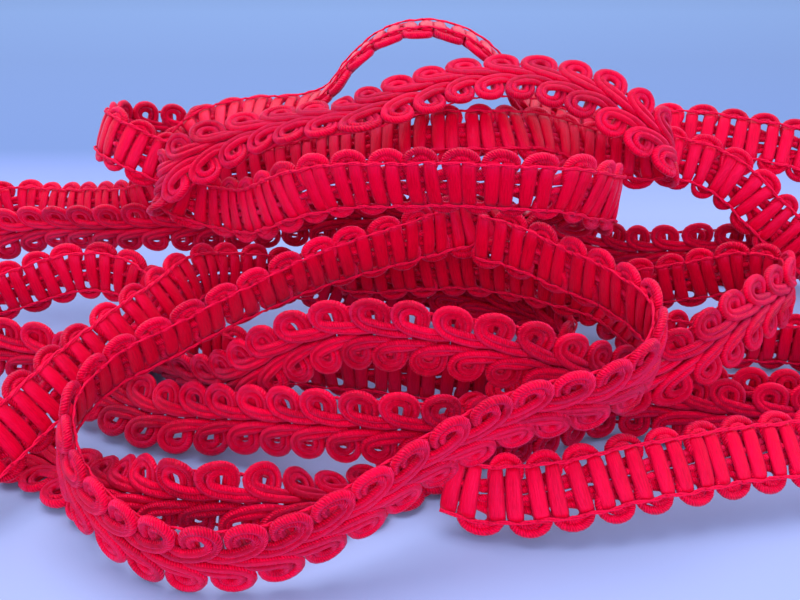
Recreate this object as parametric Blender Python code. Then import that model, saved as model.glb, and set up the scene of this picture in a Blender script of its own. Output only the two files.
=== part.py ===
"""A loose heap of one length of scroll gimp braid: a flat woven trim that stands on edge in springy loops.

The braid is one solid. Its centre line runs through short tables of points, and a four-sided section with
scalloped edges is carried along it. All sizes are in millimetres until the mesh is made.
"""

from typing import Dict, List, Tuple

import bmesh
import bpy
import numpy as np

MM = 0.001
BRAID_WIDTH = 12.0
BRAID_THICKNESS = 2.0
PITCH = 6.0
SECTIONS_PER_PITCH = 3
SCALLOP_DEPTH = 1.0
BRAID_RED = (0.62, 0.004, 0.022, 1.0)
# Takes the middle of the heap's footprint to the origin.
HEAP_SHIFT = (-0.33, -4.0, 0.0)

# One table for each stretch of the braid, in the order in which it runs. The columns are x, y and z of the
# middle of the braid, and its roll in degrees. At 0 the braid stands on edge, at 90 it lies flat.
COLUMNS = ("x", "y", "z", "roll")
ROUTE = {
    "front loop right": [
        (13, 1.5, 30.6, 180), (19, -1, 29.8, 182), (27, -6.5, 28, 187), (34, -14, 26.9, 190),
        (38, -24, 25.7, 183), (36, -31, 23, 172), (29, -36, 20.5, 167), (17, -39, 19, 165),
    ],
    "front loop floor": [
        (5, -43.4, 15.1, 166), (-5, -48.9, 10.9, 167), (-15.5, -52.8, 7.3, 168), (-27, -53.2, 6.2, 172),
        (-37, -48.9, 6.8, 178), (-45.3, -41.5, 10, 186),
    ],
    "front loop back": [
        (-48.3, -33, 14.5, 195), (-45, -24, 17.3, 203), (-36, -16.5, 20, 205), (-25, -9, 23.3, 205),
        (-12, -3.5, 27.2, 198), (-1, 0, 29.3, 190),
    ],
    "half turn": [
        (7, 4, 30.4, 178), (14, 8, 30.4, 140), (21, 10.3, 30.6, 90), (28, 10.8, 31, 40),
        (34.5, 9.3, 33.2, 8),
    ],
    "top bars": [
        (37.2, 4.5, 36.2, -6), (34.3, -1.6, 38.3, -10), (28.8, -6.5, 41.1, -13),
        (21.5, -8.8, 42.3, -15), (12, -8.6, 42.8, -15), (3, -6.8, 42.4, -14), (-5, -5.4, 41.8, -12),
        (-11.5, -3.4, 40.8, -9), (-17.2, -0.8, 38.8, -4), (-22.5, 3, 35.7, 1), (-28, 8.5, 32.6, 4),
    ],
    "top left fold": [
        (-34.3, 13.6, 31.9, 2), (-40.3, 14.6, 33.4, -5), (-43, 11, 37, -18), (-38.5, 8.6, 41.2, -36),
        (-31.5, 10.2, 44.4, -54),
    ],
    "top arch": [
        (-23.8, 11, 46.8, -65), (-16, 9.4, 48.7, -70), (-8, 7.8, 50.2, -70), (2, 11.3, 52.7, -66),
        (12, 14, 54.9, -64), (23, 14, 55.2, -60), (34, 10.8, 52.9, -50), (41.7, 8.9, 48.6, -38),
        (47.3, 10.3, 44.2, -25), (48.9, 14.8, 41, -10), (45.2, 18.8, 39.7, 10),
    ],
    "upper bars": [
        (37, 18.3, 40.8, 28), (27, 14.8, 44.8, 44), (16, 11, 46.3, 45), (4, 12, 45.6, 42),
        (-8, 17, 42.2, 35), (-21, 23, 37.2, 25), (-35, 26, 34.6, 16),
    ],
    "upper left fold": [
        (-47, 25.5, 37.2, 20), (-55, 26.5, 41, 25), (-59.5, 32, 41.8, 22), (-58, 41, 40.3, 5),
    ],
    "far scallops": [
        (-49, 46, 38.4, -8), (-33, 45, 38, -15), (-14, 42.5, 38.4, 10), (4, 40, 38.7, 75),
        (22, 38.5, 39, 130), (40, 36.5, 39.7, 155), (56, 33.5, 41.4, 150), (70, 28.5, 40.6, 150),
    ],
    "fall to the back": [
        (84, 25.5, 37.3, 155), (95, 33, 26, 148), (95, 45, 13.5, 125), (85.5, 53.5, 4.2, 105),
    ],
    "flat back run": [
        (76, 56, 1.8, 95), (66, 57.2, 1.15, 90), (56, 57.5, 1.02, 90), (44, 57.5, 1, 90),
        (28, 57, 1, 90), (10, 56, 1, 90), (-12, 55, 1, 90), (-32, 49.5, 1, 90), (-46, 40, 1.04, 90),
        (-52, 28, 1.05, 90), (-53, 18, 1.4, 87), (-50.5, 9, 2.3, 79),
    ],
    "rise inside": [
        (-46, 1.5, 4.7, 50), (-40.5, -4, 6.2, 25), (-32, -11, 7.6, 5), (-25, -16, 12.6, 0),
        (-17, -19.5, 19, 0),
    ],
    "inner feather": [
        (-8, -22, 22.8, -3), (3, -24.5, 23.2, -3), (15, -26, 21.9, -3), (26, -24.5, 18, -3),
        (33, -21, 14.3, -5), (40, -18.5, 13, -8), (48, -17.5, 17.3, -15), (56, -12.5, 20.4, -20),
        (63, -6.5, 21.3, -15), (69, 0, 20.8, -8),
    ],
    "right inner turn": [
        (70.5, 7, 19.9, 0), (66, 13.5, 18.7, 0), (58, 18, 15.2, 0), (48, 21, 12.3, 0),
    ],
    "dark floor bars": [
        (37, 24, 8.7, 0), (25, 27, 6.5, 0), (12, 28.5, 6.2, 0), (-2, 28.5, 7.5, 0), (-15, 25.8, 11, 0),
        (-26, 20.8, 15, 5), (-33.7, 14.5, 18, 10),
    ],
    "left bars": [
        (-38.2, 6, 20.4, 20), (-42, -3.5, 19.3, 25), (-48.3, -14, 17, 30), (-54.8, -25.5, 13.6, 30),
        (-61.2, -38, 9.8, 25),
    ],
    "left front turn": [
        (-69, -48, 7.3, 10), (-78, -49, 6.2, 0), (-84.5, -43, 6.2, 0), (-82.5, -32.5, 6.2, 0),
        (-73, -26.5, 6.2, -15),
    ],
    "floor feather": [
        (-63, -24.5, 4.8, -48), (-55, -27, 2.1, -81), (-47, -33, 2.8, -74), (-39, -38.2, 5.15, -46),
        (-30, -41, 6.3, -5), (-23, -41.3, 5.9, -25), (-16, -40, 4.5, -52),
    ],
    "under the crossing": [
        (-8.5, -36.3, 2.4, -76), (-1, -31.5, 1.9, -82), (6.5, -25, 2.5, -76), (13.5, -18.5, 4.1, -60),
        (22, -12.8, 5.6, -36), (32, -8.8, 6.2, -12),
    ],
    "floor run back": [
        (42, -8.5, 6.1, -10), (54, -12.5, 6.1, -12), (66, -14.3, 6.1, -12), (77, -11, 6.1, -5),
        (82, -1, 6.1, 0), (78, 7, 6.1, 0),
    ],
    "right bars": [
        (69, 8.5, 6.2, 3), (58, 8, 6.4, 8), (48, 6, 8.6, 5), (41, 3, 14.5, 0), (35, 0.5, 19.6, 0),
    ],
    "inner rings": [
        (28, 2, 21, 0), (21, 6.5, 21.2, 0), (12, 11, 20.5, 0), (3, 13.8, 19, 0),
    ],
    "inner return": [
        (-4.5, 14.8, 18, 0), (-10.8, 17, 17.6, 0), (-10.8, 21.8, 17, 0), (-4.5, 23.5, 16, 0),
        (6, 22, 13, 0), (19, 18.5, 9.5, 0), (28, 13, 8.2, 0), (32, 5, 7.7, 0), (26.5, -2.5, 7, 0),
    ],
    "floor bars": [
        (17, -5.8, 6.4, 0), (6, -8, 7.5, 0), (-6, -6.5, 8.2, 0), (-18, -3, 7.4, 0), (-29, 1.5, 6.5, 0),
        (-38, 7.3, 7, 5), (-46, 12.8, 12, 8),
    ],
    "left turn low": [
        (-54.5, 17.3, 16, 8), (-64, 19, 16.6, 5), (-75, 18, 13.8, 5), (-85, 14.5, 11.6, 3),
        (-91.5, 8.5, 10.3, 0), (-92.5, 1.5, 10, 0), (-85.5, -2.8, 10.4, -5),
    ],
    "left feather": [
        (-73, -2.8, 10.6, -8), (-61.5, -5, 9.3, -18), (-51, -11.6, 6.5, -34), (-42, -16.8, 5.6, -38),
        (-33, -20.2, 6.6, -24), (-24, -23.4, 8.4, -8), (-14, -28, 10.5, -5), (-4, -31, 11.7, -5),
    ],
    "over the crossing": [
        (5, -31, 11.2, -5), (13, -28, 8.9, -8), (22, -22.5, 6.6, -8), (31, -16, 6.1, -10),
    ],
    "floor run front": [
        (39, -14.5, 6.2, -12), (49, -17, 5.9, -28), (61, -19.5, 6.2, -15), (73, -18.8, 6.2, -8),
    ],
    "right climbing turn": [
        (85, -14, 6.2, 0), (91, -4, 7.5, 0), (90, 8, 12.5, 0), (84, 16, 18, 0), (77.5, 19, 23, 0),
    ],
    "arch over opening": [
        (71.5, 20, 28, 5), (66.5, 22, 33, 10), (60, 24, 36.5, 15), (52, 25.5, 38.5, 20),
        (43, 27.5, 41, 30),
    ],
    "standing arch": [
        (31.5, 28, 43.5, 55), (23.4, 28, 49.3, 75), (19, 28.2, 55.2, 85), (13.7, 28.6, 59.6, 86),
        (5.5, 29, 61.9, 86), (-2.3, 29.4, 60.5, 86), (-9, 29.8, 55.6, 86), (-14, 30.5, 49.6, 80),
    ],
    "far edge run": [
        (-20, 32.4, 46.4, 72), (-31, 34.6, 44.6, 62), (-41, 36.2, 41, 42),
    ],
    "left holes": [
        (-46.5, 36.2, 34.2, 8), (-50, 36.8, 27.5, 5), (-58.5, 40, 23.6, 8), (-69, 46, 21.2, 20),
        (-80, 51.5, 19.5, 30),
    ],
    "left turn high": [
        (-91, 55, 19, 20), (-98.5, 52, 18, 5), (-100, 45.5, 17, 0), (-93.5, 40.5, 16.4, -5),
    ],
    "far low run": [
        (-78, 37.5, 19.3, 22), (-62, 34, 20.5, 18), (-44, 32.5, 21.5, 6), (-24, 33, 22.5, 0),
        (-4, 34.5, 22.5, 0), (16, 36.5, 21, 0), (34, 36.5, 17.5, 0), (50, 33.5, 15.3, 0),
        (62, 29, 17.3, 0), (75, 26.5, 18, 0),
    ],
    "right front turn": [
        (88, 24, 18, 0), (98, 14, 16.5, 0), (101, 0, 14.5, 0), (98, -15, 12.5, 8),
        (88.5, -27, 10.7, 22), (77, -31.5, 9.8, 36),
    ],
    "front bars": [
        (64, -32.6, 9.6, 41), (48.5, -35.4, 9.5, 42), (33, -38.8, 8.7, 42), (20.5, -40.6, 7, 38),
        (12, -39.6, 6.2, 32), (5.5, -37.4, 7.4, 22), (1.9, -35, 9.4, 12),
    ],
}


def knots(route: Dict[str, List[Tuple[float, ...]]]) -> np.ndarray:
    """All rows of the route as one array with the columns x, y, z and roll."""
    return np.array([row for table in route.values() for row in table], float)


def smooth_line(rows: np.ndarray, steps: int = 24) -> np.ndarray:
    """A smooth curve through the rows: cubic Hermite pieces whose knots follow the root of the chord."""
    chords = np.sqrt(np.linalg.norm(np.diff(rows[:, :3], axis=0), axis=1))
    at = np.concatenate([[0.0], np.cumsum(chords)])
    slope = np.zeros_like(rows)
    for i in range(1, len(rows) - 1):
        before = at[i] - at[i - 1]
        after = at[i + 1] - at[i]
        rise_in = (rows[i] - rows[i - 1]) / before
        rise_out = (rows[i + 1] - rows[i]) / after
        slope[i] = (rise_in * after + rise_out * before) / (before + after)
    slope[0] = (rows[1] - rows[0]) / chords[0]
    slope[-1] = (rows[-1] - rows[-2]) / chords[-1]
    points = []
    for i in range(len(rows) - 1):
        span = at[i + 1] - at[i]
        for u in np.linspace(0.0, 1.0, steps, endpoint=False):
            points.append(
                (2 * u**3 - 3 * u**2 + 1) * rows[i]
                + (u**3 - 2 * u**2 + u) * span * slope[i]
                + (3 * u**2 - 2 * u**3) * rows[i + 1]
                + (u**3 - u**2) * span * slope[i + 1]
            )
    points.append(rows[-1])
    return np.array(points)


def even_steps(line: np.ndarray, step: float) -> Tuple[np.ndarray, np.ndarray]:
    """Points at even distances along the line, and their roll in radians."""
    along = np.concatenate([[0.0], np.cumsum(np.linalg.norm(np.diff(line[:, :3], axis=0), axis=1))])
    count = int(along[-1] / step)
    at = np.linspace(0.0, along[-1], count + 1)
    even = np.stack([np.interp(at, along, line[:, k]) for k in range(len(COLUMNS))], axis=1)
    return even[:, :3], np.radians(even[:, 3])


def frames(points: np.ndarray, roll: np.ndarray) -> Tuple[np.ndarray, np.ndarray]:
    """The unit vectors across the braid's width and out of its face, at each point."""
    along = np.gradient(points, axis=0)
    along /= np.linalg.norm(along, axis=1, keepdims=True)
    up = np.array([0.0, 0.0, 1.0]) - along * along[:, 2:3]
    up /= np.linalg.norm(up, axis=1, keepdims=True)
    side = np.cross(along, up)
    across = np.cos(roll)[:, None] * up + np.sin(roll)[:, None] * side
    return across, np.cross(along, across)


def scalloped_half_width(section: int) -> float:
    """Half the width at a section: full on the scallops, less between two of them."""
    dip = SCALLOP_DEPTH if section % SECTIONS_PER_PITCH == SECTIONS_PER_PITCH - 1 else 0.0
    return BRAID_WIDTH / 2 - dip


def add_braid(name: str) -> bpy.types.Object:
    """Carries the section along the route and closes both ends."""
    points, roll = even_steps(smooth_line(knots(ROUTE)), PITCH / SECTIONS_PER_PITCH)
    points = points + np.array(HEAP_SHIFT)
    across, out = frames(points, roll)
    mesh = bpy.data.meshes.new(name)
    build = bmesh.new()
    rings = []
    for i, point in enumerate(points):
        top = point + across[i] * scalloped_half_width(i)
        bottom = point - across[i] * scalloped_half_width(i + 1)
        half = out[i] * (BRAID_THICKNESS / 2)
        corners = (top + half, bottom + half, bottom - half, top - half)
        rings.append([build.verts.new(corner * MM) for corner in corners])
    for ring, following in zip(rings, rings[1:]):
        for k in range(4):
            build.faces.new((ring[k], ring[(k + 1) % 4], following[(k + 1) % 4], following[k]))
    build.faces.new(list(reversed(rings[0])))
    build.faces.new(rings[-1])
    if build.calc_volume(signed=True) < 0:
        bmesh.ops.reverse_faces(build, faces=build.faces)
    build.to_mesh(mesh)
    build.free()
    braid = bpy.data.objects.new(name, mesh)
    bpy.context.scene.collection.objects.link(braid)
    return braid


def add_material(name: str) -> bpy.types.Material:
    """Plain red cloth."""
    material = bpy.data.materials.new(name)
    material.use_nodes = True
    shader = material.node_tree.nodes["Principled BSDF"]
    shader.inputs["Base Color"].default_value = BRAID_RED
    shader.inputs["Roughness"].default_value = 0.7
    return material


def main() -> None:
    """Clears the scene and builds the braid."""
    for obj in list(bpy.data.objects):
        bpy.data.objects.remove(obj)
    braid = add_braid("braid")
    braid.data.materials.append(add_material("braid"))


main()
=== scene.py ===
"""Looks of a loose heap of scroll gimp braid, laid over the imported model.

The braid is woven flat, one pitch long, out of wrapped cords, floss bars and chain threads. An array
repeats the pitch, and every point is then carried from the flat braid to the line that the braid follows
in the heap. Flat braid coordinates are in millimetres: s along the braid, w across it and n out of its
scroll face.
"""

import logging
import math
from dataclasses import dataclass, field
from enum import Enum
from typing import Dict, List, Sequence, Tuple

import bmesh
import bpy
import numpy as np
from mathutils import Matrix, Vector

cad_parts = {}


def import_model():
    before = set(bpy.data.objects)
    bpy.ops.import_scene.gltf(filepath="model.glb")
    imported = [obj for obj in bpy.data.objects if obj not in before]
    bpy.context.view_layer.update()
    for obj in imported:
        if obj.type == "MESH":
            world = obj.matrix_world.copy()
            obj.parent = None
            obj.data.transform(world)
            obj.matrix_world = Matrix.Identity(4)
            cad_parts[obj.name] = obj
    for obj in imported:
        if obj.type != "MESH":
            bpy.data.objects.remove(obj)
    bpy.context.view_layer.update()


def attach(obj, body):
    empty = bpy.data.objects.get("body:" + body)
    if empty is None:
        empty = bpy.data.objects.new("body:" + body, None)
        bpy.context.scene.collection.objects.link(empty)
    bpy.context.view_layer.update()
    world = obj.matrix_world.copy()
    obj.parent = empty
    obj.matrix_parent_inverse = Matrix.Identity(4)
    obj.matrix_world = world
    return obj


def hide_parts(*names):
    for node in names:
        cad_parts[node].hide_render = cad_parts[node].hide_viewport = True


LOG = logging.getLogger("braid")
MM = 0.001
# Keeps a division away from nought.
TINY = 1e-9
BODY = "root"
NODE = "braid"
# The attribute of every woven point: how far along its thread it is in millimetres, which share of a
# turn round it, and the number of its strand, which becomes the strand's shade.
THREAD = "thread"
# Takes the middle of the heap's footprint to the origin, as in the part's source.
HEAP_SHIFT = (-0.33, -4.0, 0.0)

# One table for each stretch of the braid, in the order in which it runs. The columns are x, y and z of
# the middle of the braid, and its roll in degrees. At 0 the braid stands on edge, at 90 it lies flat.
COLUMNS = ("x", "y", "z", "roll")
ROUTE = {
    "front loop right": [
        (13, 1.5, 30.6, 180), (19, -1, 29.8, 182), (27, -6.5, 28, 187), (34, -14, 26.9, 190),
        (38, -24, 25.7, 183), (36, -31, 23, 172), (29, -36, 20.5, 167), (17, -39, 19, 165),
    ],
    "front loop floor": [
        (5, -43.4, 15.1, 166), (-5, -48.9, 10.9, 167), (-15.5, -52.8, 7.3, 168), (-27, -53.2, 6.2, 172),
        (-37, -48.9, 6.8, 178), (-45.3, -41.5, 10, 186),
    ],
    "front loop back": [
        (-48.3, -33, 14.5, 195), (-45, -24, 17.3, 203), (-36, -16.5, 20, 205), (-25, -9, 23.3, 205),
        (-12, -3.5, 27.2, 198), (-1, 0, 29.3, 190),
    ],
    "half turn": [
        (7, 4, 30.4, 178), (14, 8, 30.4, 140), (21, 10.3, 30.6, 90), (28, 10.8, 31, 40),
        (34.5, 9.3, 33.2, 8),
    ],
    "top bars": [
        (37.2, 4.5, 36.2, -6), (34.3, -1.6, 38.3, -10), (28.8, -6.5, 41.1, -13),
        (21.5, -8.8, 42.3, -15), (12, -8.6, 42.8, -15), (3, -6.8, 42.4, -14), (-5, -5.4, 41.8, -12),
        (-11.5, -3.4, 40.8, -9), (-17.2, -0.8, 38.8, -4), (-22.5, 3, 35.7, 1), (-28, 8.5, 32.6, 4),
    ],
    "top left fold": [
        (-34.3, 13.6, 31.9, 2), (-40.3, 14.6, 33.4, -5), (-43, 11, 37, -18), (-38.5, 8.6, 41.2, -36),
        (-31.5, 10.2, 44.4, -54),
    ],
    "top arch": [
        (-23.8, 11, 46.8, -65), (-16, 9.4, 48.7, -70), (-8, 7.8, 50.2, -70), (2, 11.3, 52.7, -66),
        (12, 14, 54.9, -64), (23, 14, 55.2, -60), (34, 10.8, 52.9, -50), (41.7, 8.9, 48.6, -38),
        (47.3, 10.3, 44.2, -25), (48.9, 14.8, 41, -10), (45.2, 18.8, 39.7, 10),
    ],
    "upper bars": [
        (37, 18.3, 40.8, 28), (27, 14.8, 44.8, 44), (16, 11, 46.3, 45), (4, 12, 45.6, 42),
        (-8, 17, 42.2, 35), (-21, 23, 37.2, 25), (-35, 26, 34.6, 16),
    ],
    "upper left fold": [
        (-47, 25.5, 37.2, 20), (-55, 26.5, 41, 25), (-59.5, 32, 41.8, 22), (-58, 41, 40.3, 5),
    ],
    "far scallops": [
        (-49, 46, 38.4, -8), (-33, 45, 38, -15), (-14, 42.5, 38.4, 10), (4, 40, 38.7, 75),
        (22, 38.5, 39, 130), (40, 36.5, 39.7, 155), (56, 33.5, 41.4, 150), (70, 28.5, 40.6, 150),
    ],
    "fall to the back": [
        (84, 25.5, 37.3, 155), (95, 33, 26, 148), (95, 45, 13.5, 125), (85.5, 53.5, 4.2, 105),
    ],
    "flat back run": [
        (76, 56, 1.8, 95), (66, 57.2, 1.15, 90), (56, 57.5, 1.02, 90), (44, 57.5, 1, 90),
        (28, 57, 1, 90), (10, 56, 1, 90), (-12, 55, 1, 90), (-32, 49.5, 1, 90), (-46, 40, 1.04, 90),
        (-52, 28, 1.05, 90), (-53, 18, 1.4, 87), (-50.5, 9, 2.3, 79),
    ],
    "rise inside": [
        (-46, 1.5, 4.7, 50), (-40.5, -4, 6.2, 25), (-32, -11, 7.6, 5), (-25, -16, 12.6, 0),
        (-17, -19.5, 19, 0),
    ],
    "inner feather": [
        (-8, -22, 22.8, -3), (3, -24.5, 23.2, -3), (15, -26, 21.9, -3), (26, -24.5, 18, -3),
        (33, -21, 14.3, -5), (40, -18.5, 13, -8), (48, -17.5, 17.3, -15), (56, -12.5, 20.4, -20),
        (63, -6.5, 21.3, -15), (69, 0, 20.8, -8),
    ],
    "right inner turn": [
        (70.5, 7, 19.9, 0), (66, 13.5, 18.7, 0), (58, 18, 15.2, 0), (48, 21, 12.3, 0),
    ],
    "dark floor bars": [
        (37, 24, 8.7, 0), (25, 27, 6.5, 0), (12, 28.5, 6.2, 0), (-2, 28.5, 7.5, 0), (-15, 25.8, 11, 0),
        (-26, 20.8, 15, 5), (-33.7, 14.5, 18, 10),
    ],
    "left bars": [
        (-38.2, 6, 20.4, 20), (-42, -3.5, 19.3, 25), (-48.3, -14, 17, 30), (-54.8, -25.5, 13.6, 30),
        (-61.2, -38, 9.8, 25),
    ],
    "left front turn": [
        (-69, -48, 7.3, 10), (-78, -49, 6.2, 0), (-84.5, -43, 6.2, 0), (-82.5, -32.5, 6.2, 0),
        (-73, -26.5, 6.2, -15),
    ],
    "floor feather": [
        (-63, -24.5, 4.8, -48), (-55, -27, 2.1, -81), (-47, -33, 2.8, -74), (-39, -38.2, 5.15, -46),
        (-30, -41, 6.3, -5), (-23, -41.3, 5.9, -25), (-16, -40, 4.5, -52),
    ],
    "under the crossing": [
        (-8.5, -36.3, 2.4, -76), (-1, -31.5, 1.9, -82), (6.5, -25, 2.5, -76), (13.5, -18.5, 4.1, -60),
        (22, -12.8, 5.6, -36), (32, -8.8, 6.2, -12),
    ],
    "floor run back": [
        (42, -8.5, 6.1, -10), (54, -12.5, 6.1, -12), (66, -14.3, 6.1, -12), (77, -11, 6.1, -5),
        (82, -1, 6.1, 0), (78, 7, 6.1, 0),
    ],
    "right bars": [
        (69, 8.5, 6.2, 3), (58, 8, 6.4, 8), (48, 6, 8.6, 5), (41, 3, 14.5, 0), (35, 0.5, 19.6, 0),
    ],
    "inner rings": [
        (28, 2, 21, 0), (21, 6.5, 21.2, 0), (12, 11, 20.5, 0), (3, 13.8, 19, 0),
    ],
    "inner return": [
        (-4.5, 14.8, 18, 0), (-10.8, 17, 17.6, 0), (-10.8, 21.8, 17, 0), (-4.5, 23.5, 16, 0),
        (6, 22, 13, 0), (19, 18.5, 9.5, 0), (28, 13, 8.2, 0), (32, 5, 7.7, 0), (26.5, -2.5, 7, 0),
    ],
    "floor bars": [
        (17, -5.8, 6.4, 0), (6, -8, 7.5, 0), (-6, -6.5, 8.2, 0), (-18, -3, 7.4, 0), (-29, 1.5, 6.5, 0),
        (-38, 7.3, 7, 5), (-46, 12.8, 12, 8),
    ],
    "left turn low": [
        (-54.5, 17.3, 16, 8), (-64, 19, 16.6, 5), (-75, 18, 13.8, 5), (-85, 14.5, 11.6, 3),
        (-91.5, 8.5, 10.3, 0), (-92.5, 1.5, 10, 0), (-85.5, -2.8, 10.4, -5),
    ],
    "left feather": [
        (-73, -2.8, 10.6, -8), (-61.5, -5, 9.3, -18), (-51, -11.6, 6.5, -34), (-42, -16.8, 5.6, -38),
        (-33, -20.2, 6.6, -24), (-24, -23.4, 8.4, -8), (-14, -28, 10.5, -5), (-4, -31, 11.7, -5),
    ],
    "over the crossing": [
        (5, -31, 11.2, -5), (13, -28, 8.9, -8), (22, -22.5, 6.6, -8), (31, -16, 6.1, -10),
    ],
    "floor run front": [
        (39, -14.5, 6.2, -12), (49, -17, 5.9, -28), (61, -19.5, 6.2, -15), (73, -18.8, 6.2, -8),
    ],
    "right climbing turn": [
        (85, -14, 6.2, 0), (91, -4, 7.5, 0), (90, 8, 12.5, 0), (84, 16, 18, 0), (77.5, 19, 23, 0),
    ],
    "arch over opening": [
        (71.5, 20, 28, 5), (66.5, 22, 33, 10), (60, 24, 36.5, 15), (52, 25.5, 38.5, 20),
        (43, 27.5, 41, 30),
    ],
    "standing arch": [
        (31.5, 28, 43.5, 55), (23.4, 28, 49.3, 75), (19, 28.2, 55.2, 85), (13.7, 28.6, 59.6, 86),
        (5.5, 29, 61.9, 86), (-2.3, 29.4, 60.5, 86), (-9, 29.8, 55.6, 86), (-14, 30.5, 49.6, 80),
    ],
    "far edge run": [
        (-20, 32.4, 46.4, 72), (-31, 34.6, 44.6, 62), (-41, 36.2, 41, 42),
    ],
    "left holes": [
        (-46.5, 36.2, 34.2, 8), (-50, 36.8, 27.5, 5), (-58.5, 40, 23.6, 8), (-69, 46, 21.2, 20),
        (-80, 51.5, 19.5, 30),
    ],
    "left turn high": [
        (-91, 55, 19, 20), (-98.5, 52, 18, 5), (-100, 45.5, 17, 0), (-93.5, 40.5, 16.4, -5),
    ],
    "far low run": [
        (-78, 37.5, 19.3, 22), (-62, 34, 20.5, 18), (-44, 32.5, 21.5, 6), (-24, 33, 22.5, 0),
        (-4, 34.5, 22.5, 0), (16, 36.5, 21, 0), (34, 36.5, 17.5, 0), (50, 33.5, 15.3, 0),
        (62, 29, 17.3, 0), (75, 26.5, 18, 0),
    ],
    "right front turn": [
        (88, 24, 18, 0), (98, 14, 16.5, 0), (101, 0, 14.5, 0), (98, -15, 12.5, 8),
        (88.5, -27, 10.7, 22), (77, -31.5, 9.8, 36),
    ],
    "front bars": [
        (64, -32.6, 9.6, 41), (48.5, -35.4, 9.5, 42), (33, -38.8, 8.7, 42), (20.5, -40.6, 7, 38),
        (12, -39.6, 6.2, 32), (5.5, -37.4, 7.4, 22), (1.9, -35, 9.4, 12),
    ],
}

Point = Tuple[float, float, float]
Colour = Tuple[float, float, float]


class Side(Enum):
    """The two edges of the braid. The value is the sign of w there."""

    TOP = 1.0
    BOTTOM = -1.0


@dataclass
class BraidLine:
    """The line that the middle of the braid follows through the heap, with its frame at every point."""

    route: Dict[str, List[Tuple[float, ...]]]
    shift: Point = HEAP_SHIFT
    # The way from place to place in millimetres, which is fitted to the length.
    step: float = 0.5
    pieces_per_chord: int = 24
    places: np.ndarray = field(init=False)
    across: np.ndarray = field(init=False)
    out: np.ndarray = field(init=False)
    length: float = field(init=False)

    def __post_init__(self) -> None:
        """Works out the places and frames at even steps."""
        rows = np.array([row for table in self.route.values() for row in table], float)
        line = self.smooth(rows)
        chords = np.linalg.norm(np.diff(line[:, :3], axis=0), axis=1)
        along = np.concatenate([[0.0], np.cumsum(chords)])
        self.length = float(along[-1])
        at = np.linspace(0.0, self.length, int(self.length / self.step) + 1)
        even = np.stack([np.interp(at, along, line[:, k]) for k in range(len(COLUMNS))], axis=1)
        self.step = float(at[1])
        self.places = even[:, :3] + np.array(self.shift)
        ahead = np.gradient(self.places, axis=0)
        ahead /= np.linalg.norm(ahead, axis=1, keepdims=True)
        up = np.array([0.0, 0.0, 1.0]) - ahead * ahead[:, 2:3]
        up /= np.linalg.norm(up, axis=1, keepdims=True)
        roll = np.radians(even[:, 3])[:, None]
        self.across = np.cos(roll) * up + np.sin(roll) * np.cross(ahead, up)
        self.out = np.cross(ahead, self.across)

    def smooth(self, rows: np.ndarray) -> np.ndarray:
        """Draws a smooth curve through the rows.

        It is made of cubic Hermite pieces whose knots follow the root of the chord.

        Args:
            rows: The route's rows, with the columns x, y, z and roll.

        Returns:
            Close points on the curve, with the same columns.
        """
        chords = np.sqrt(np.linalg.norm(np.diff(rows[:, :3], axis=0), axis=1))
        at = np.concatenate([[0.0], np.cumsum(chords)])
        slope = np.zeros_like(rows)
        for i in range(1, len(rows) - 1):
            before = at[i] - at[i - 1]
            after = at[i + 1] - at[i]
            rise_in = (rows[i] - rows[i - 1]) / before
            rise_out = (rows[i + 1] - rows[i]) / after
            slope[i] = (rise_in * after + rise_out * before) / (before + after)
        slope[0] = (rows[1] - rows[0]) / chords[0]
        slope[-1] = (rows[-1] - rows[-2]) / chords[-1]
        points = []
        for i in range(len(rows) - 1):
            span = at[i + 1] - at[i]
            for u in np.linspace(0.0, 1.0, self.pieces_per_chord, endpoint=False):
                points.append(
                    (2 * u**3 - 3 * u**2 + 1) * rows[i]
                    + (u**3 - 2 * u**2 + u) * span * slope[i]
                    + (3 * u**2 - 2 * u**3) * rows[i + 1]
                    + (u**3 - u**2) * span * slope[i + 1]
                )
        points.append(rows[-1])
        return np.array(points)

    def lay(self, flat: np.ndarray) -> np.ndarray:
        """Carries points of the flat braid to their places in the heap.

        Args:
            flat: An array of s, w and n in millimetres.

        Returns:
            The points in metres.
        """
        on_line = np.clip(flat[:, 0], 0.0, self.length)
        at = on_line / self.step
        before = np.minimum(at.astype(int), len(self.places) - 2)
        share = (at - before)[:, None]
        past = (flat[:, 0] - on_line)[:, None]
        place, across, out = (
            table[before] * (1 - share) + table[before + 1] * share
            for table in (self.places, self.across, self.out)
        )
        across /= np.linalg.norm(across, axis=1, keepdims=True)
        out /= np.linalg.norm(out, axis=1, keepdims=True)
        ahead = np.cross(across, out)
        laid = place + ahead * past + across * flat[:, 1:2] + out * flat[:, 2:3]
        return laid * MM


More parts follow.
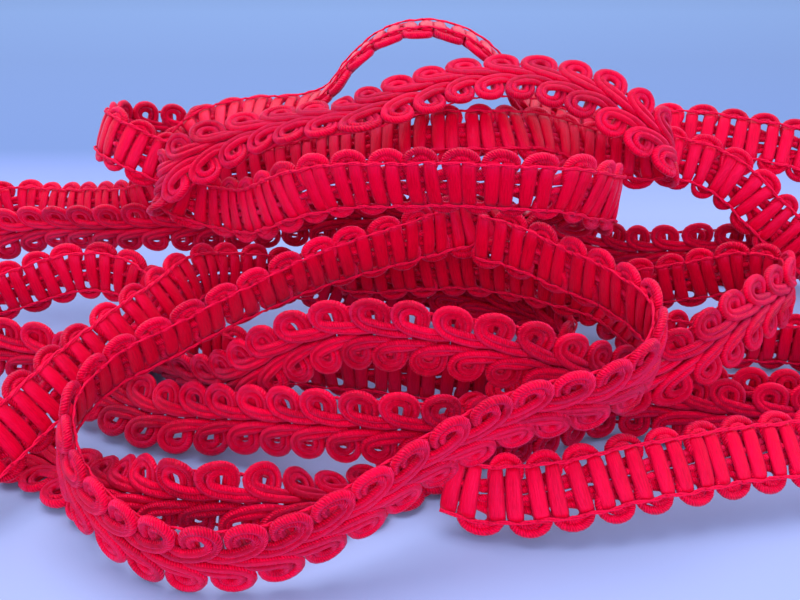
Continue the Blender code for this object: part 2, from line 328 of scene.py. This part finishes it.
@dataclass
class Strand:
    """A thread, cord or flat bar that is swept along a path in the flat braid."""

    path: List[Vector]
    half_width: float
    half_thickness: float
    sides: int
    steps: int
    mark: int
    closed_ends: bool = True
    # The width at the ends, as a share of that in the middle, and how late the strand narrows to it.
    end_width: float = 1.0
    taper: int = 3
    # How many close points each span of the path is first split into.
    fineness: int = 12

    def curve(self) -> List[Vector]:
        """Spaces points evenly on a Catmull-Rom curve through the path.

        Returns:
            The points, one more than the strand has steps.
        """
        points = [self.path[0] * 2 - self.path[1], *self.path, self.path[-1] * 2 - self.path[-2]]
        fine = []
        for before, here, after, later in zip(points, points[1:], points[2:], points[3:]):
            for k in range(self.fineness):
                u = k / self.fineness
                fine.append(
                    0.5
                    * (
                        here * 2
                        + (after - before) * u
                        + (before * 2 - here * 5 + after * 4 - later) * u**2
                        + (here * 3 - before - after * 3 + later) * u**3
                    )
                )
        fine.append(self.path[-1])
        gone = [0.0]
        for here, after in zip(fine, fine[1:]):
            gone.append(gone[-1] + (after - here).length)
        even = []
        at = 0
        for k in range(self.steps + 1):
            want = gone[-1] * k / self.steps
            while at < len(gone) - 2 and gone[at + 1] < want:
                at += 1
            share = (want - gone[at]) / max(gone[at + 1] - gone[at], TINY)
            even.append(fine[at].lerp(fine[at + 1], min(max(share, 0.0), 1.0)))
        return even

    def place(self, points: List[Vector], k: int) -> Matrix:
        """Works out the matrix that takes a unit circle to the section at a point.

        Args:
            points: Even points along the strand.
            k: The number of the point.

        Returns:
            The section's width, thickness, direction and place as a matrix.
        """
        ahead = (points[min(k + 1, len(points) - 1)] - points[max(k - 1, 0)]).normalized()
        side = ahead.cross(Vector((0.0, 0.0, 1.0))).normalized()
        face = side.cross(ahead).normalized()
        from_middle = abs(2.0 * k / (len(points) - 1) - 1.0)
        width = self.half_width * (1.0 - (1.0 - self.end_width) * from_middle**self.taper)
        rows = [side * width, face * self.half_thickness, ahead, points[k]]
        return Matrix([(*row, 0.0 if i < 3 else 1.0) for i, row in enumerate(rows)]).transposed()

    def sweep(self, build: bmesh.types.BMesh) -> None:
        """Extrudes a ring of edges along the path.

        Args:
            build: The mesh that the strand is added to. It has the vertex layer of the threads.
        """
        thread = build.verts.layers.float_vector[THREAD]
        points = self.curve()
        ring = bmesh.ops.create_circle(build, segments=self.sides, radius=1.0)["verts"]
        for k, vert in enumerate(ring):
            vert[thread] = Vector((0.0, k / self.sides, self.mark))
        # Each edge once, in the order of the ring.
        edges = list(dict.fromkeys(edge for vert in ring for edge in vert.link_edges))
        ends = [edges]
        matrix = self.place(points, 0)
        bmesh.ops.transform(build, matrix=matrix, verts=ring)
        gone = 0.0
        for k in range(1, len(points)):
            made = bmesh.ops.extrude_edge_only(build, edges=edges)["geom"]
            ring = [item for item in made if isinstance(item, bmesh.types.BMVert)]
            inside = set(ring)
            edges = [
                item
                for item in made
                if isinstance(item, bmesh.types.BMEdge) and inside.issuperset(item.verts)
            ]
            following = self.place(points, k)
            bmesh.ops.transform(build, matrix=following @ matrix.inverted(), verts=ring)
            matrix = following
            gone += (points[k] - points[k - 1]).length
            for vert in ring:
                vert[thread] = Vector((gone, vert[thread].y, self.mark))
        ends.append(edges)
        if self.closed_ends:
            for end in ends:
                bmesh.ops.holes_fill(build, edges=end, sides=self.sides)


@dataclass
class Weave:
    """The sizes that every part of the woven pitch shares, in millimetres."""

    pitch: float = 6.0
    half_width: float = 6.0
    ring_height: float = 3.55
    slant: float = 0.04

    def stagger(self, side: Side) -> float:
        """How far along the rings of an edge stand: the bottom ones are half a pitch further on."""
        return 0.0 if side is Side.TOP else self.pitch / 2


@dataclass
class ScrollCords:
    """The wrapped cords of the scroll face: a ring at each edge, whose tail sweeps to the middle."""

    weave: Weave
    outer_radius: float = 0.65
    outer_steps: int = 27
    outer_sides: int = 8
    inner_radius: float = 0.61
    inner_steps: int = 19
    inner_sides: int = 7
    end_width: float = 0.75
    # The points of each cord: s and w from the middle of its ring, and n from the middle of the braid.
    outer_path: Tuple[Point, ...] = (
        (1.60, -2.75, -0.34), (2.10, -1.80, -0.30), (2.38, -0.75, -0.16), (2.28, 0.45, 0.00),
        (1.52, 1.42, 0.10), (0.10, 1.84, 0.18), (-1.42, 1.46, 0.22), (-2.26, 0.55, 0.30),
        (-2.34, -0.55, 0.38), (-1.60, -1.65, 0.52), (-0.20, -2.35, 0.62), (1.40, -2.72, 0.64),
        (2.90, -2.92, 0.58), (4.30, -2.98, 0.40), (5.60, -2.95, 0.05), (6.90, -2.80, -0.30),
    )
    inner_path: Tuple[Point, ...] = (
        (1.15, -2.30, -0.34), (1.16, -1.45, -0.26), (1.31, -0.50, -0.08), (1.08, 0.44, 0.00),
        (0.05, 0.86, 0.08), (-1.02, 0.48, 0.18), (-1.34, -0.40, 0.32), (-1.00, -1.10, 0.50),
        (0.10, -1.50, 0.62), (1.50, -1.78, 0.66), (2.70, -1.98, 0.52), (3.60, -2.10, 0.18),
        (4.20, -2.15, -0.12), (4.80, -2.12, -0.34),
    )

    def strands(self) -> List[Strand]:
        """Lays out the cords that start in one pitch.

        Returns:
            An outer and an inner cord at each edge.
        """
        made = []
        for side in Side:
            start = self.weave.pitch / 2 + self.weave.stagger(side)
            for path, radius, steps, sides in (
                (self.outer_path, self.outer_radius, self.outer_steps, self.outer_sides),
                (self.inner_path, self.inner_radius, self.inner_steps, self.inner_sides),
            ):
                places = [
                    Vector((start + s, side.value * (self.weave.ring_height + w), n))
                    for s, w, n in path
                ]
                made.append(
                    Strand(
                        places,
                        half_width=radius,
                        half_thickness=radius,
                        sides=sides,
                        steps=steps,
                        mark=len(made),
                        end_width=self.end_width,
                    )
                )
        return made


@dataclass
class FlossBars:
    """The flat glossy bars across the back, two for each ring, a little slanted."""

    weave: Weave
    half_width: float = 1.22
    half_thickness: float = 0.40
    end_width: float = 0.80
    sides: int = 8
    steps: int = 7
    reach: float = 4.05
    depth: float = -0.74
    # How far the bar's ends rise towards the scroll face, and how late they do.
    rise: float = 0.45
    lateness: int = 4
    # How much the slot behind the middle of a bottom ring is wider than the other.
    wider: float = 0.36
    # Where the points of a bar's path are, as shares of its reach.
    shares: Tuple[float, ...] = (-1.0, -0.85, -0.5, 0.0, 0.5, 0.85, 1.0)

    def strands(self) -> List[Strand]:
        """Lays out the bars of one pitch.

        Returns:
            The two bars.
        """
        made = []
        for k in range(2):
            middle = self.weave.pitch * (k + 0.5) / 2 + self.wider * (0.5 - k)
            places = []
            for share in self.shares:
                w = share * self.reach
                n = self.depth + self.rise * abs(share) ** self.lateness
                places.append(Vector((middle + self.weave.slant * w, w, n)))
            made.append(
                Strand(
                    places,
                    half_width=self.half_width,
                    half_thickness=self.half_thickness,
                    sides=self.sides,
                    steps=self.steps,
                    mark=k,
                    end_width=self.end_width,
                )
            )
        return made


@dataclass
class ChainThreads:
    """The thin threads of the chain stitch along both edges of the back."""

    weave: Weave
    radius: float = 0.15
    sides: int = 4
    steps: int = 8
    # How many spans the path of a thread has in one pitch.
    spans: int = 8
    line: float = 3.85
    swing: float = 0.19
    depth: float = -1.02
    rise: float = 0.09
    count: int = 3

    def strands(self) -> List[Strand]:
        """Lays out the threads of one pitch, whose ends meet those of the next.

        Returns:
            The threads of both edges. Their ends stay open until the pitches are repeated.
        """
        made = []
        for side in Side:
            for k in range(self.count):
                places = []
                for j in range(self.spans + 1):
                    # Every second thread swings twice in a pitch.
                    turn = math.tau * (j / self.spans * (1 + k % 2) + k / self.count)
                    w = side.value * (self.line + self.swing * math.sin(turn))
                    n = self.depth + self.rise * math.cos(turn)
                    places.append(Vector((self.weave.pitch * j / self.spans, w, n)))
                made.append(
                    Strand(
                        places,
                        half_width=self.radius,
                        half_thickness=self.radius,
                        sides=self.sides,
                        steps=self.steps,
                        mark=len(made),
                        closed_ends=False,
                    )
                )
        return made


@dataclass(frozen=True)
class FibreGloss:
    """The gloss of red fibre, whose highlights keep most of its colour."""

    roughness: float
    specular: float
    sheen: float
    tint: Colour = (1.0, 0.06, 0.42)
    sheen_roughness: float = 0.28
    sheen_tint: Colour = (1.0, 0.05, 0.26)


class Nodes:
    """Adds and links the nodes of one material."""

    def __init__(self, name: str) -> None:
        """Makes an empty material.

        Args:
            name: The material's name.
        """
        self.material = bpy.data.materials.new(name)
        self.material.use_nodes = True
        self.tree = self.material.node_tree
        self.shader = self.tree.nodes["Principled BSDF"]

    def add(self, kind: str, inputs: Dict[object, object], **settings: object) -> bpy.types.Node:
        """Adds a node.

        Args:
            kind: The node's type.
            inputs: A value or an output socket for each input, by name or number.
            settings: The node's own properties.

        Returns:
            The node.
        """
        node = self.tree.nodes.new(kind)
        for name, value in settings.items():
            setattr(node, name, value)
        for name, value in inputs.items():
            self.put(node.inputs[name], value)
        return node

    def put(self, socket: bpy.types.NodeSocket, value: object) -> None:
        """Sets a socket's value, or links an output to it.

        Args:
            socket: The input socket.
            value: The value, or the output socket.
        """
        if isinstance(value, bpy.types.NodeSocket):
            self.tree.links.new(value, socket)
        else:
            socket.default_value = value

    def thread(self) -> Sequence[bpy.types.NodeSocket]:
        """The way along the thread in millimetres, the share of a turn round it, and its shade."""
        stored = self.add("ShaderNodeAttribute", {}, attribute_name=THREAD).outputs["Vector"]
        return self.add("ShaderNodeSeparateXYZ", {0: stored}).outputs

    def place(self) -> bpy.types.NodeSocket:
        """The place of a point, in metres."""
        return self.add("ShaderNodeTexCoord", {}).outputs["Object"]

    def math(self, operation: str, *values: object) -> bpy.types.NodeSocket:
        """The result of a maths node on these values."""
        return self.add("ShaderNodeMath", dict(enumerate(values)), operation=operation).outputs[0]

    def total(self, *terms: Tuple[bpy.types.NodeSocket, float]) -> bpy.types.NodeSocket:
        """Adds up sockets.

        Args:
            terms: Each socket with its weight.

        Returns:
            The sum.
        """
        result, *others = [self.math("MULTIPLY", socket, weight) for socket, weight in terms]
        for other in others:
            result = self.math("ADD", result, other)
        return result

    def noise(
        self, vector: bpy.types.NodeSocket, scale: float, detail: float, distortion: float = 0.0
    ) -> bpy.types.NodeSocket:
        """Makes a soft noise.

        Args:
            vector: What the noise runs over.
            scale: How often it changes in one unit of that.
            detail: How many finer layers it has.
            distortion: How far it is warped.

        Returns:
            The noise, from nought to one.
        """
        inputs = {"Vector": vector, "Scale": scale, "Detail": detail, "Distortion": distortion}
        return self.add("ShaderNodeTexNoise", inputs).outputs[0]

    def paint(self, factor: bpy.types.NodeSocket, stops: Sequence[Tuple[float, Colour]]) -> None:
        """Colours the surface from a colour ramp.

        Args:
            factor: What the ramp reads.
            stops: The place and colour of each stop.
        """
        node = self.add("ShaderNodeValToRGB", {"Fac": factor})
        elements = node.color_ramp.elements
        while len(elements) < len(stops):
            elements.new(0.5)
        for element, (place, colour) in zip(elements, stops):
            element.position = place
            element.color = (*colour, 1.0)
        self.put(self.shader.inputs["Base Color"], node.outputs["Color"])

    def emboss(self, height: bpy.types.NodeSocket, strength: float, depth: float) -> None:
        """Gives the surface a relief.

        Args:
            height: The relief, in units of its depth.
            strength: How much of it shows.
            depth: Its depth in metres.
        """
        bump = self.add("ShaderNodeBump", {"Strength": strength, "Distance": depth, "Height": height})
        self.put(self.shader.inputs["Normal"], bump.outputs[0])

    def shine(self, gloss: FibreGloss) -> None:
        """Sets the shader's gloss.

        Args:
            gloss: The gloss of the fibre.
        """
        for name, value in (
            ("Roughness", gloss.roughness),
            ("Specular IOR Level", gloss.specular),
            ("Specular Tint", (*gloss.tint, 1.0)),
            ("Sheen Weight", gloss.sheen),
            ("Sheen Roughness", gloss.sheen_roughness),
            ("Sheen Tint", (*gloss.sheen_tint, 1.0)),
        ):
            self.shader.inputs[name].default_value = value


@dataclass(frozen=True)
class CordFinish:
    """Satin thread wrapped round a cord: fine slanting wraps, a soft sheen, and a deep red that is
    painted shade in the grooves between the wraps and random tone elsewhere.
    """

    name: str = "wrapped cord"
    deep: Colour = (0.34, 0.000, 0.009)
    bright: Colour = (0.86, 0.000, 0.034)
    # The tones at which the colour is deep and bright.
    tones: Tuple[float, float] = (0.36, 0.86)
    # The way from wrap to wrap in millimetres, how many threads are wound side by side, and how far the
    # fine noise moves a wrap, counted in wraps.
    wrap: float = 0.36
    starts: float = 4.0
    waver: float = 1.3
    # The scale and detail of the noise that varies long stretches, and of the one that varies fibres.
    broad: Tuple[float, float] = (60.0, 2.0)
    fine: Tuple[float, float] = (1500.0, 4.0)
    # How much the broad noise, the cord's own shade, the wraps' painted shade in their grooves and the
    # fine noise count in the tone.
    broad_tone: float = 0.45
    shade_tone: float = 0.30
    wrap_groove_shade: float = 0.13
    fine_tone: float = 0.60
    # How much the wraps and the fine noise count in the relief.
    wrap_relief: float = 0.5
    fine_relief: float = 1.4
    strength: float = 0.9
    depth: float = 0.00011
    gloss: FibreGloss = FibreGloss(roughness=0.32, specular=0.50, sheen=0.80)

    def material(self) -> bpy.types.Material:
        """Builds the material.

        Returns:
            The material.
        """
        n = Nodes(self.name)
        along, turn, shade = n.thread()
        place = n.place()
        broad = n.noise(place, *self.broad)
        fine = n.noise(place, *self.fine)
        along_wraps = n.math("DIVIDE", along, self.wrap)
        turns = n.total((along_wraps, 1.0), (turn, self.starts), (fine, self.waver))
        wraps = n.math("SINE", n.math("MULTIPLY", turns, math.tau))
        # Painted shade: the wraps make the grooves between them darker, as well as lower in the relief.
        tone = n.total(
            (broad, self.broad_tone),
            (shade, self.shade_tone),
            (wraps, self.wrap_groove_shade),
            (fine, self.fine_tone),
        )
        n.paint(tone, tuple(zip(self.tones, (self.deep, self.bright))))
        relief = n.total((wraps, self.wrap_relief), (fine, self.fine_relief))
        n.emboss(relief, self.strength, self.depth)
        n.shine(self.gloss)
        return n.material


@dataclass(frozen=True)
class FlossFinish:
    """Untwisted floss: glossy fibres that run along the bar."""

    name: str = "floss"
    deep: Colour = (0.42, 0.000, 0.008)
    bright: Colour = (0.74, 0.000, 0.027)
    # The tones at which the colour is deep and bright.
    tones: Tuple[float, float] = (0.22, 0.62)
    # How fast the fibres change along the bar, round it and from bar to bar.
    along_rate: float = 0.42
    round_rate: float = 34.0
    shade_rate: float = 40.0
    detail: float = 4.0
    distortion: float = 1.4
    # How much the fibres and the bar's own shade count in the tone.
    fibre_tone: float = 0.95
    shade_tone: float = 0.15
    strength: float = 0.8
    depth: float = 0.00016
    gloss: FibreGloss = FibreGloss(roughness=0.28, specular=0.60, sheen=0.25)

    def material(self) -> bpy.types.Material:
        """Builds the material.

        Returns:
            The material.
        """
        n = Nodes(self.name)
        along, turn, shade = n.thread()
        # Folded at half a turn, so that the pattern meets itself where the turn starts again.
        folded = n.math("ABSOLUTE", n.math("SUBTRACT", turn, 0.5))
        vector = n.add(
            "ShaderNodeCombineXYZ",
            {
                "X": n.math("MULTIPLY", along, self.along_rate),
                "Y": n.math("MULTIPLY", folded, self.round_rate),
                "Z": n.math("MULTIPLY", shade, self.shade_rate),
            },
        ).outputs[0]
        fibres = n.noise(vector, 1.0, self.detail, self.distortion)
        tone = n.total((fibres, self.fibre_tone), (shade, self.shade_tone))
        n.paint(tone, tuple(zip(self.tones, (self.deep, self.bright))))
        n.emboss(fibres, self.strength, self.depth)
        n.shine(self.gloss)
        return n.material


@dataclass(frozen=True)
class ChainFinish:
    """Matt sewing thread, a little paler than the cords, with painted shade in the hollows of its twist.
    """

    name: str = "chain thread"
    colour: Colour = (0.84, 0.004, 0.052)
    # The painted shade in the hollows of the twist: how bright they are painted, as a share of the
    # colour.
    twist_hollow_shade: float = 0.75
    # The way along the thread that one turn of the twist takes, in millimetres.
    twist: float = 0.5
    # The middle of the tone, and how far the twist takes it from there, which paints shade into its
    # hollows.
    middle: float = 0.5
    contrast: float = 0.3
    strength: float = 0.4
    depth: float = 0.00004
    gloss: FibreGloss = FibreGloss(roughness=0.5, specular=0.3, sheen=0.5)

    def material(self) -> bpy.types.Material:
        """Builds the material.

        Returns:
            The material.
        """
        n = Nodes(self.name)
        along, turn, _ = n.thread()
        turns = n.math("ADD", n.math("DIVIDE", along, self.twist), turn)
        ply = n.math("SINE", n.math("MULTIPLY", turns, math.tau))
        # Painted shade: the hollows of the twist, which are low in the relief, are painted darker.
        tone = n.math("ADD", n.math("MULTIPLY", ply, self.contrast), self.middle)
        dark = tuple(self.twist_hollow_shade * part for part in self.colour)
        n.paint(tone, ((0.0, dark), (1.0, self.colour)))
        n.emboss(ply, self.strength, self.depth)
        n.shine(self.gloss)
        return n.material


@dataclass
class Braid:
    """Weaves the flat braid, lays it along its line and dresses its pieces."""

    line: BraidLine
    weave: Weave
    # Where the random shades and the random moves of the strands start.
    shade_seed: int = 7
    move_seed: int = 217
    # How far a strand strays along, across and out of the braid.
    stray: Point = (0.10, 0.06, 0.04)
    # How far a strand leans over, and the mean and spread of how far its middle bows along the braid.
    lean: float = 0.18
    bow: Tuple[float, float] = (0.16, 0.16)
    # The slow waves of the threads that run on: the size of each, its rate along the braid and its start.
    waves_across: Tuple[Point, ...] = ((0.08, 0.41, 1.0), (0.07, 1.13, 0.0), (0.06, 2.3, 0.0))
    waves_out: Tuple[Point, ...] = ((0.05, 1.7, 0.0), (0.04, 2.9, 0.0))
    # How far those threads stop short of the braid's cut ends.
    drawn_in: float = 0.9

    def pitches(self) -> int:
        """How many whole pitches the line holds."""
        return int(self.line.length / self.weave.pitch)

    def flat_pitch(self, name: str, strands: List[Strand]) -> bpy.types.Object:
        """Weaves one pitch of the flat braid.

        Args:
            name: The object's name.
            strands: What is woven in it.

        Returns:
            The object, in millimetres.
        """
        build = bmesh.new()
        build.verts.layers.float_vector.new(THREAD)
        for strand in strands:
            strand.sweep(build)
        bmesh.ops.recalc_face_normals(build, faces=build.faces)
        for face in build.faces:
            face.smooth = True
        mesh = bpy.data.meshes.new(name)
        build.to_mesh(mesh)
        build.free()
        piece = bpy.data.objects.new(name, mesh)
        bpy.context.scene.collection.objects.link(piece)
        return piece

    def repeat(self, piece: bpy.types.Object, count: int) -> bpy.types.Mesh:
        """Repeats a pitch along the flat braid.

        Args:
            piece: The object of one pitch, which gets the new mesh.
            count: How many pitches that has.

        Returns:
            The new mesh.
        """
        array = piece.modifiers.new("pitches", "ARRAY")
        array.count = count
        array.use_relative_offset = False
        array.use_constant_offset = True
        array.constant_offset_displace = (self.weave.pitch, 0.0, 0.0)
        graph = bpy.context.evaluated_depsgraph_get()
        mesh = bpy.data.meshes.new_from_object(piece.evaluated_get(graph))
        one_pitch = piece.data
        piece.modifiers.clear()
        piece.data = mesh
        bpy.data.meshes.remove(one_pitch)
        mesh.name = piece.name
        return mesh

    def close_ends(self, mesh: bpy.types.Mesh, sides: int) -> None:
        """Closes the ends of each pitch's threads, which meet those of the next pitch.

        Args:
            mesh: The threads, whose vertices keep their order.
            sides: How many sides a thread has.
        """
        build = bmesh.new()
        build.from_mesh(mesh)
        open_edges = [edge for edge in build.edges if edge.is_boundary]
        caps = bmesh.ops.holes_fill(build, edges=open_edges, sides=sides)["faces"]
        bmesh.ops.recalc_face_normals(build, faces=build.faces)
        build.to_mesh(mesh)
        build.free()
        LOG.info("%s: %d ends closed", mesh.name, len(caps))

    def woven(
        self,
        name: str,
        strands: List[Strand],
        first: int,
        count: int,
        material: bpy.types.Material,
        joined: bool = False,
    ) -> bpy.types.Object:
        """Weaves a stretch of the braid in its place.

        Args:
            name: The piece's name.
            strands: What is woven in one pitch.
            first: The first pitch of the stretch.
            count: How many pitches it has.
            material: Its finish.
            joined: Whether the threads of one pitch run on into the next.

        Returns:
            The piece.
        """
        piece = self.flat_pitch(name, strands)
        mesh = self.repeat(piece, count)
        if joined:
            self.close_ends(mesh, strands[0].sides)
        flat = triples(mesh.vertices, "co")
        thread = mesh.attributes[THREAD].data
        marks = triples(thread, "vector")
        strand = np.rint(marks[:, 2]).astype(int)
        pitch = np.arange(len(flat)) * count // len(flat)
        if not joined:
            self.scatter(flat, strand, pitch, first)
        flat[:, 0] += first * self.weave.pitch
        if joined:
            self.wave(flat)
            self.draw_in(flat, first, count)
        random = np.random.default_rng(self.shade_seed + first)
        shades = random.random((count, strand.max() + 1))
        marks[:, 2] = shades[pitch, strand]
        thread.foreach_set("vector", marks.ravel())
        mesh.vertices.foreach_set("co", self.line.lay(flat).ravel())
        mesh.materials.clear()
        mesh.materials.append(material)
        mesh.update()
        return piece

    def scatter(self, flat: np.ndarray, strand: np.ndarray, pitch: np.ndarray, first: int) -> None:
        """Moves the strands a little, so that no two pitches are quite alike.

        Args:
            flat: The points of the flat stretch, which are changed.
            strand: The number of the strand that each point belongs to.
            pitch: The number of the pitch that each point belongs to.
            first: The first pitch of the stretch.
        """
        size = (pitch[-1] + 1, strand.max() + 1)
        random = np.random.default_rng(self.move_seed + first)
        shift = random.normal(0.0, 1.0, (*size, 3)) * np.array(self.stray)
        flat += shift[pitch, strand]
        lean = random.normal(0.0, self.lean, size)
        bow = random.normal(*self.bow, size)
        height = flat[:, 1] / self.weave.half_width
        flat[:, 0] += lean[pitch, strand] * height + bow[pitch, strand] * (1.0 - height**2)

    def wave(self, flat: np.ndarray) -> None:
        """Lets the threads that run on swing a little across and out of the braid.

        Args:
            flat: The points of the threads, which are changed.
        """
        for column, waves in ((1, self.waves_across), (2, self.waves_out)):
            flat[:, column] += sum(
                size * np.sin(flat[:, 0] * rate + start) for size, rate, start in waves
            )

    def draw_in(self, flat: np.ndarray, first: int, count: int) -> None:
        """Shortens the threads that run on, so that they stop before the braid's cut ends.

        Args:
            flat: The points of the threads, which are changed.
            first: The first pitch of the stretch.
            count: How many pitches it has.
        """
        middle = (first + count / 2) * self.weave.pitch
        kept = 1.0 - 2.0 * self.drawn_in / (count * self.weave.pitch)
        flat[:, 0] = middle + (flat[:, 0] - middle) * kept

    def dress(self, piece: bpy.types.Object) -> None:
        """Makes a piece ride on the heap and stand for the braid's solid.

        Args:
            piece: The piece.
        """
        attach(piece, BODY)
        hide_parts(NODE)


@dataclass(frozen=True)
class SoftLight:
    """A square soft light that faces the heap, in metres and watts."""

    name: str
    place: Point
    size: float
    power: float
    colour: Colour = (1.0, 0.98, 0.98)

    def add(self) -> None:
        """Adds the light."""
        data = bpy.data.lights.new(self.name, "AREA")
        data.size = self.size
        data.energy = self.power
        data.color = self.colour
        light = bpy.data.objects.new(self.name, data)
        light.location = self.place
        light.rotation_mode = "QUATERNION"
        light.rotation_quaternion = (-Vector(self.place)).to_track_quat("-Z", "Y")
        bpy.context.scene.collection.objects.link(light)


@dataclass(frozen=True)
class Ground:
    """The pale ground, in metres, with painted light: lighter in front of and under the heap, darker and
    bluer behind it.
    """

    half_size: float = 3.0
    cells: int = 8
    roughness: float = 0.6
    # Between these two places in y, the colour runs through the stops, which paint light on the ground:
    # lighter in front of and under the heap, darker and bluer behind it.
    near: float = -0.1
    far: float = 0.9
    stops: Tuple[Tuple[float, Colour], ...] = (
        (0.0, (0.29, 0.36, 0.66)),
        (0.06, (0.27, 0.34, 0.64)),
        (0.12, (0.24, 0.31, 0.61)),
        (0.20, (0.25, 0.32, 0.66)),
        (0.25, (0.18, 0.25, 0.57)),
        (0.28, (0.105, 0.185, 0.43)),
        (0.50, (0.115, 0.205, 0.45)),
        (0.80, (0.155, 0.275, 0.56)),
    )

    def add(self) -> None:
        """Adds the ground."""
        build = bmesh.new()
        bmesh.ops.create_grid(build, x_segments=self.cells, y_segments=self.cells, size=self.half_size)
        mesh = bpy.data.meshes.new("ground")
        build.to_mesh(mesh)
        build.free()
        ground = bpy.data.objects.new("ground", mesh)
        bpy.context.scene.collection.objects.link(ground)
        mesh.materials.append(self.material())

    def material(self) -> bpy.types.Material:
        """Builds the material.

        Returns:
            The material.
        """
        n = Nodes("ground")
        away = n.add("ShaderNodeSeparateXYZ", {0: n.place()}).outputs["Y"]
        limits = {"Value": away, "From Min": self.near, "From Max": self.far}
        # Painted light: the ramp makes the ground lighter or darker by its distance, as the light falls.
        n.paint(n.add("ShaderNodeMapRange", limits).outputs[0], self.stops)
        n.shader.inputs["Roughness"].default_value = self.roughness
        return n.material


@dataclass(frozen=True)
class Studio:
    """The ground, the sky, the soft light and the camera at the photograph's angle."""

    # The camera: its place in millimetres, how far it looks down in degrees, its focal length and
    # sensor in millimetres, and the nearest thing that it sees in metres.
    eye: Point = (0.0, -140.0, 81.0)
    down: float = 24.0
    focal: float = 38.6
    sensor: float = 36.0
    nearest: float = 0.01
    sky: Colour = (0.80, 0.87, 1.0)
    sky_strength: float = 1.06
    lights: Tuple[SoftLight, ...] = (
        SoftLight("top light", (-0.10, 0.14, 0.85), size=0.70, power=6.3),
        SoftLight("front light", (0.10, -0.90, 0.38), size=0.80, power=6.2),
    )

    def add_camera(self) -> None:
        """Adds the camera."""
        data = bpy.data.cameras.new("camera")
        data.lens = self.focal
        data.sensor_width = self.sensor
        data.clip_start = self.nearest
        camera = bpy.data.objects.new("camera", data)
        camera.location = (Vector(self.eye) + Vector(HEAP_SHIFT)) * MM
        camera.rotation_euler = (math.radians(90.0 - self.down), 0.0, 0.0)
        bpy.context.scene.collection.objects.link(camera)
        bpy.context.scene.camera = camera

    def add_world(self) -> None:
        """Adds an even pale sky."""
        world = bpy.data.worlds.new("sky")
        world.use_nodes = True
        back = world.node_tree.nodes["Background"]
        back.inputs["Color"].default_value = (*self.sky, 1.0)
        back.inputs["Strength"].default_value = self.sky_strength
        bpy.context.scene.world = world

    def build(self) -> None:
        """Adds the camera, the ground, the sky and the lights."""
        self.add_camera()
        Ground().add()
        self.add_world()
        for light in self.lights:
            light.add()
        bpy.context.scene.view_settings.view_transform = "Standard"


def triples(items: bpy.types.bpy_prop_collection, name: str) -> np.ndarray:
    """Reads the vectors of a collection.

    Args:
        items: The collection.
        name: The name of the vector in each of its items.

    Returns:
        An array with one row for each item.
    """
    values = np.empty(len(items) * 3)
    items.foreach_get(name, values)
    return values.reshape(-1, 3)


def main() -> None:
    logging.basicConfig(level=logging.INFO, format="%(message)s")
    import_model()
    Studio().build()
    weave = Weave()
    braid = Braid(BraidLine(ROUTE), weave)
    total = braid.pitches()
    # The cords of a pitch reach into the next one, so they stop one pitch before the cut end.
    curled = total - 1
    cord = CordFinish().material()
    # The cords are made in runs, so that no piece has too many triangles.
    runs = 4
    made = []
    for k in range(runs):
        first = curled * k // runs
        count = curled * (k + 1) // runs - first
        strands = ScrollCords(weave).strands()
        made.append(braid.woven(f"scroll_cords_{k + 1}", strands, first, count, cord))
    for name, strands, finish, joined in (
        ("floss_bars", FlossBars(weave).strands(), FlossFinish(), False),
        ("chain_threads", ChainThreads(weave).strands(), ChainFinish(), True),
    ):
        made.append(braid.woven(name, strands, 0, total, finish.material(), joined))
    for piece in made:
        braid.dress(piece)
        LOG.info("%s: %d faces", piece.name, len(piece.data.polygons))
    LOG.info("braid %.0f mm long, %d pitches", braid.line.length, total)


if __name__ == "__main__":
    main()
